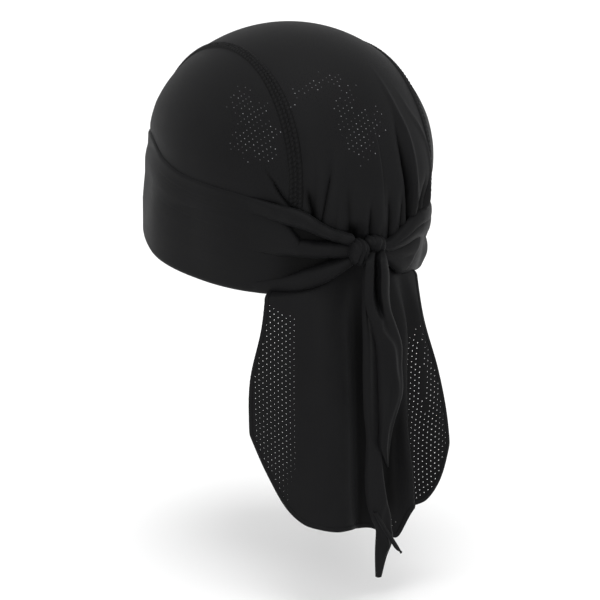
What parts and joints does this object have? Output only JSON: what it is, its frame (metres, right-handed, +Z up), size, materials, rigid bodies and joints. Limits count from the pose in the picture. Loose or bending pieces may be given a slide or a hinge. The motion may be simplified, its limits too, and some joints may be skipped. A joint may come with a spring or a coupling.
{
  "type": "tie-back skull cap with neck flap",
  "caption": "Black stretch-knit cooling skull cap with a wide headband tied behind in a knot with two tails, and a ventilated neck flap.",
  "frame": {"origin": "centre of the head opening, level with the band's lower edge at the sides", "axes": "+X to the wearer's left, +Y to the back of the head, +Z up"},
  "size_m": [0.1602, 0.2161, 0.2917],
  "materials": {
    "knit": "matte smooth stretch knit",
    "band_knit": "matte smooth stretch knit, double",
    "stitching": "matte flat-stitched seam",
    "mesh_knit": "matte stretch knit with small round ventilation holes"
  },
  "bodies": {
    "root": {"crown_centre_panel": "knit", "crown_left_panel": "knit", "crown_right_panel": "knit", "crown_left_seam": "stitching", "crown_right_seam": "stitching", "headband": "band_knit", "left_tie": "band_knit", "right_tie": "band_knit", "knot": "band_knit", "long_tail": "band_knit", "short_tail": "band_knit", "neck_flap": "mesh_knit"}
  },
  "joints": []
}
